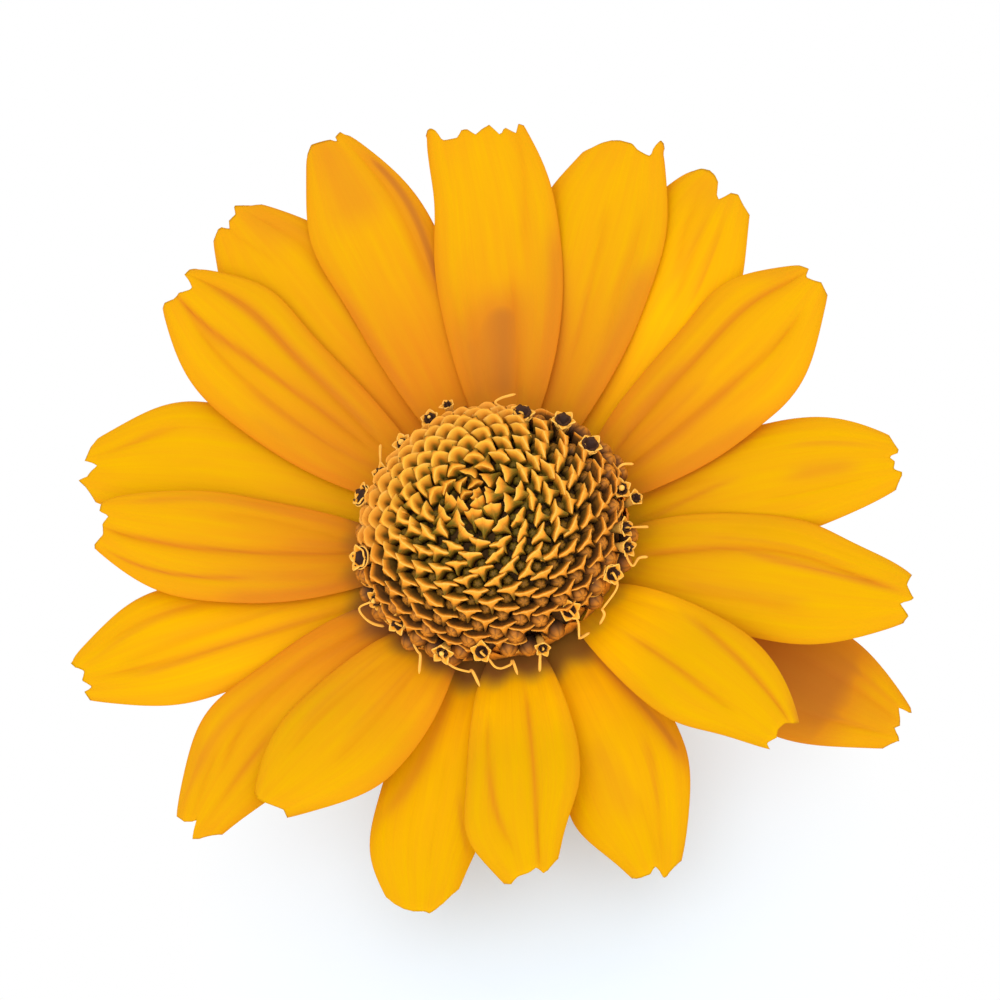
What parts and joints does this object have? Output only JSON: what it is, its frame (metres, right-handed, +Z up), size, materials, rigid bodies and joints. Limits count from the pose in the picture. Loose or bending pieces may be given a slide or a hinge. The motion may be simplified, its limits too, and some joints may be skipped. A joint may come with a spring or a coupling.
{
  "type": "false sunflower",
  "caption": "Picked false sunflower head lying face up: golden toothed rays in overlapping layers round a domed disc of small florets, on a green cup of bracts",
  "frame": {"origin": "middle of the flat picked scar under the head, on the surface that the head lies on", "axes": "+Z up along the flower's axis, out of the face of the disc; +Y points away from the picture's viewer and +X to the viewer's right, once the picture is turned so that the flower's axis leans straight away"},
  "size_m": [0.0692, 0.0701, 0.0196],
  "materials": {
    "ray_yellow": "thin living petal, satin, saturated golden yellow going orange to the root, light shines through a little",
    "disc_gold": "golden-orange chaff tips over brown hollows, olive green in the middle, matte",
    "bract_green": "fresh leaf green with paler veins, matte, slightly downy"
  },
  "bodies": {
    "root": {"ray_01": "ray_yellow", "ray_02": "ray_yellow", "ray_03": "ray_yellow", "ray_04": "ray_yellow", "ray_05": "ray_yellow", "ray_06": "ray_yellow", "ray_07": "ray_yellow", "ray_08": "ray_yellow", "ray_09": "ray_yellow", "ray_10": "ray_yellow", "ray_11": "ray_yellow", "ray_12": "ray_yellow", "ray_13": "ray_yellow", "ray_14": "ray_yellow", "ray_15": "ray_yellow", "ray_16": "ray_yellow", "ray_17": "ray_yellow", "ray_18": "ray_yellow", "ray_19": "ray_yellow", "disc": "disc_gold", "involucre": "bract_green"}
  },
  "joints": []
}
